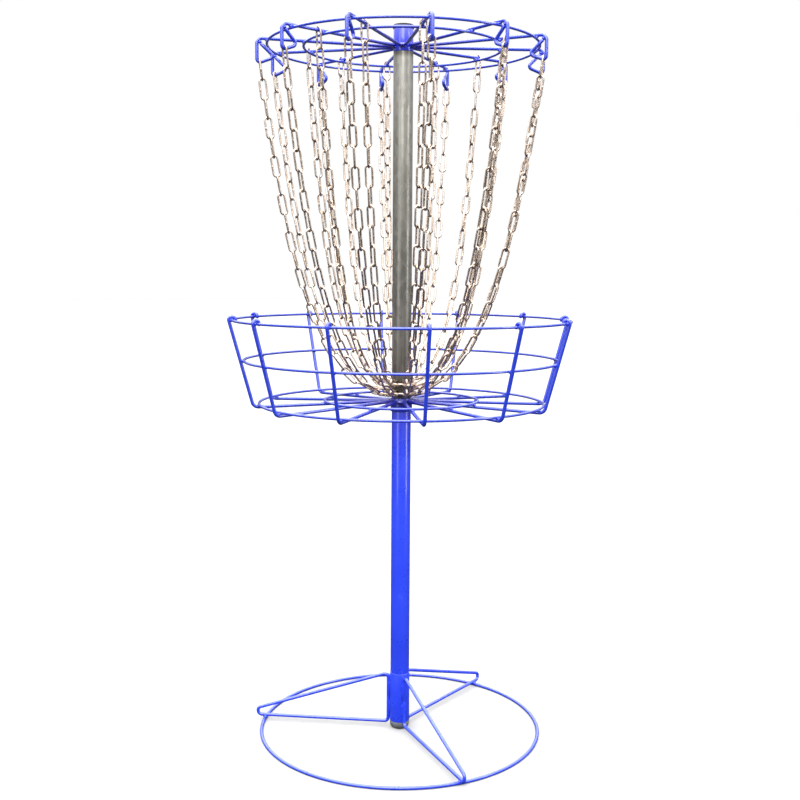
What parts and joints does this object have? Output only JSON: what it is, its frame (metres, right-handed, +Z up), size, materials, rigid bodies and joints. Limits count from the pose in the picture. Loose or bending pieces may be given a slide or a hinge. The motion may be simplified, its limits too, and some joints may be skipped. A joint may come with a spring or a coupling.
{
  "type": "disc golf basket",
  "caption": "Portable disc golf target: wire ground ring and pole, round wire basket, and curtains of chain hung from a spoked top ring.",
  "frame": {"origin": "on the ground, on the axis of the pole", "axes": "+Z up along the pole, -Y towards the front spoke"},
  "size_m": [0.642, 0.642, 1.32],
  "materials": {
    "blue_coat": "glossy powder coat",
    "galvanised": "dull galvanised",
    "zinc_chain": "bright zinc plating",
    "grey_plastic": "matte",
    "black_plastic": "satin"
  },
  "bodies": {
    "base": {"base_ring": "blue_coat", "base_strut_1": "blue_coat", "base_strut_2": "blue_coat", "base_strut_3": "blue_coat", "base_sleeve": "blue_coat", "foot_plug": "grey_plastic"},
    "basket_section": {"lower_pole": "blue_coat", "lower_joiner": "galvanised", "basket_hub": "blue_coat", "basket_rib_pair_1": "blue_coat", "basket_rib_pair_2": "blue_coat", "basket_rib_pair_3": "blue_coat", "basket_rib_pair_4": "blue_coat", "basket_rib_pair_5": "blue_coat", "basket_rib_pair_6": "blue_coat", "basket_floor_ring": "blue_coat", "basket_bottom_ring": "blue_coat", "basket_middle_ring": "blue_coat", "basket_rim_ring": "blue_coat"},
    "upper_section": {"upper_pole": "galvanised", "upper_joiner": "galvanised"},
    "chain_support": {"top_hub": "blue_coat", "top_joiner": "galvanised", "top_cap": "black_plastic", "top_outer_ring": "blue_coat", "top_inner_ring": "blue_coat", "top_spoke_pair_1": "blue_coat", "top_spoke_pair_2": "blue_coat", "top_spoke_pair_3": "blue_coat", "top_spoke_pair_4": "blue_coat", "top_spoke_pair_5": "blue_coat", "top_spoke_pair_6": "blue_coat", "lower_gather_ring": "zinc_chain", "upper_gather_ring": "zinc_chain"},
    "outer_strand_000": {"outer_chain_000": "zinc_chain"},
    "outer_strand_030": {"outer_chain_030": "zinc_chain"},
    "outer_strand_060": {"outer_chain_060": "zinc_chain"},
    "outer_strand_090": {"outer_chain_090": "zinc_chain"},
    "outer_strand_120": {"outer_chain_120": "zinc_chain"},
    "outer_strand_150": {"outer_chain_150": "zinc_chain"},
    "outer_strand_180": {"outer_chain_180": "zinc_chain"},
    "outer_strand_210": {"outer_chain_210": "zinc_chain"},
    "outer_strand_240": {"outer_chain_240": "zinc_chain"},
    "outer_strand_270": {"outer_chain_270": "zinc_chain"},
    "outer_strand_300": {"outer_chain_300": "zinc_chain"},
    "outer_strand_330": {"outer_chain_330": "zinc_chain"},
    "inner_strand_000": {"inner_chain_000": "zinc_chain"},
    "inner_strand_060": {"inner_chain_060": "zinc_chain"},
    "inner_strand_090": {"inner_chain_090": "zinc_chain"},
    "inner_strand_120": {"inner_chain_120": "zinc_chain"},
    "inner_strand_150": {"inner_chain_150": "zinc_chain"},
    "inner_strand_180": {"inner_chain_180": "zinc_chain"},
    "inner_strand_210": {"inner_chain_210": "zinc_chain"},
    "inner_strand_240": {"inner_chain_240": "zinc_chain"},
    "inner_strand_300": {"inner_chain_300": "zinc_chain"},
    "inner_strand_330": {"inner_chain_330": "zinc_chain"}
  },
  "joints": [
    {"name": "basket_section_lift", "type": "slide", "parent": "base", "child": "basket_section", "axis": [0, 0, 1], "range_m": [0, 0.08]},
    {"name": "upper_section_lift", "type": "slide", "parent": "basket_section", "child": "upper_section", "axis": [0, 0, 1], "range_m": [0, 0.08]},
    {"name": "chain_support_lift", "type": "slide", "parent": "upper_section", "child": "chain_support", "axis": [0, 0, 1], "range_m": [0, 0.09]},
    {"name": "outer_swing_000", "type": "hinge", "parent": "chain_support", "child": "outer_strand_000", "pos_m": [0, -0.2588, 1.2455], "axis": [0, -0.3661, 0.9306], "range_deg": [-25, 25]},
    {"name": "outer_swing_030", "type": "hinge", "parent": "chain_support", "child": "outer_strand_030", "pos_m": [0.1294, -0.22413, 1.2455], "axis": [0.1831, -0.3171, 0.9306], "range_deg": [-25, 25]},
    {"name": "outer_swing_060", "type": "hinge", "parent": "chain_support", "child": "outer_strand_060", "pos_m": [0.22413, -0.1294, 1.2455], "axis": [0.3171, -0.1831, 0.9306], "range_deg": [-25, 25]},
    {"name": "outer_swing_090", "type": "hinge", "parent": "chain_support", "child": "outer_strand_090", "pos_m": [0.2588, 0, 1.2455], "axis": [0.3661, 0, 0.9306], "range_deg": [-25, 25]},
    {"name": "outer_swing_120", "type": "hinge", "parent": "chain_support", "child": "outer_strand_120", "pos_m": [0.22413, 0.1294, 1.2455], "axis": [0.3171, 0.1831, 0.9306], "range_deg": [-25, 25]},
    {"name": "outer_swing_150", "type": "hinge", "parent": "chain_support", "child": "outer_strand_150", "pos_m": [0.1294, 0.22413, 1.2455], "axis": [0.1831, 0.3171, 0.9306], "range_deg": [-25, 25]},
    {"name": "outer_swing_180", "type": "hinge", "parent": "chain_support", "child": "outer_strand_180", "pos_m": [0, 0.2588, 1.2455], "axis": [0, 0.3661, 0.9306], "range_deg": [-25, 25]},
    {"name": "outer_swing_210", "type": "hinge", "parent": "chain_support", "child": "outer_strand_210", "pos_m": [-0.1294, 0.22413, 1.2455], "axis": [-0.1831, 0.3171, 0.9306], "range_deg": [-25, 25]},
    {"name": "outer_swing_240", "type": "hinge", "parent": "chain_support", "child": "outer_strand_240", "pos_m": [-0.22413, 0.1294, 1.2455], "axis": [-0.3171, 0.1831, 0.9306], "range_deg": [-25, 25]},
    {"name": "outer_swing_270", "type": "hinge", "parent": "chain_support", "child": "outer_strand_270", "pos_m": [-0.2588, 0, 1.2455], "axis": [-0.3661, 0, 0.9306], "range_deg": [-25, 25]},
    {"name": "outer_swing_300", "type": "hinge", "parent": "chain_support", "child": "outer_strand_300", "pos_m": [-0.22413, -0.1294, 1.2455], "axis": [-0.3171, -0.1831, 0.9306], "range_deg": [-25, 25]},
    {"name": "outer_swing_330", "type": "hinge", "parent": "chain_support", "child": "outer_strand_330", "pos_m": [-0.1294, -0.22413, 1.2455], "axis": [-0.1831, -0.3171, 0.9306], "range_deg": [-25, 25]},
    {"name": "inner_swing_000", "type": "hinge", "parent": "chain_support", "child": "inner_strand_000", "pos_m": [0, -0.189, 1.28526], "axis": [0, -0.2568, 0.9665], "range_deg": [-25, 25]},
    {"name": "inner_swing_060", "type": "hinge", "parent": "chain_support", "child": "inner_strand_060", "pos_m": [0.16368, -0.0945, 1.28526], "axis": [0.2224, -0.1284, 0.9665], "range_deg": [-25, 25]},
    {"name": "inner_swing_090", "type": "hinge", "parent": "chain_support", "child": "inner_strand_090", "pos_m": [0.189, 0, 1.28526], "axis": [0.2568, 0, 0.9665], "range_deg": [-25, 25]},
    {"name": "inner_swing_120", "type": "hinge", "parent": "chain_support", "child": "inner_strand_120", "pos_m": [0.16368, 0.0945, 1.28526], "axis": [0.2224, 0.1284, 0.9665], "range_deg": [-25, 25]},
    {"name": "inner_swing_150", "type": "hinge", "parent": "chain_support", "child": "inner_strand_150", "pos_m": [0.0945, 0.16368, 1.28526], "axis": [0.1284, 0.2224, 0.9665], "range_deg": [-25, 25]},
    {"name": "inner_swing_180", "type": "hinge", "parent": "chain_support", "child": "inner_strand_180", "pos_m": [0, 0.189, 1.28526], "axis": [0, 0.2568, 0.9665], "range_deg": [-25, 25]},
    {"name": "inner_swing_210", "type": "hinge", "parent": "chain_support", "child": "inner_strand_210", "pos_m": [-0.0945, 0.16368, 1.28526], "axis": [-0.1284, 0.2224, 0.9665], "range_deg": [-25, 25]},
    {"name": "inner_swing_240", "type": "hinge", "parent": "chain_support", "child": "inner_strand_240", "pos_m": [-0.16368, 0.0945, 1.28526], "axis": [-0.2224, 0.1284, 0.9665], "range_deg": [-25, 25]},
    {"name": "inner_swing_300", "type": "hinge", "parent": "chain_support", "child": "inner_strand_300", "pos_m": [-0.16368, -0.0945, 1.28526], "axis": [-0.2224, -0.1284, 0.9665], "range_deg": [-25, 25]},
    {"name": "inner_swing_330", "type": "hinge", "parent": "chain_support", "child": "inner_strand_330", "pos_m": [-0.0945, -0.16368, 1.28526], "axis": [-0.1284, -0.2224, 0.9665], "range_deg": [-25, 25]}
  ]
}
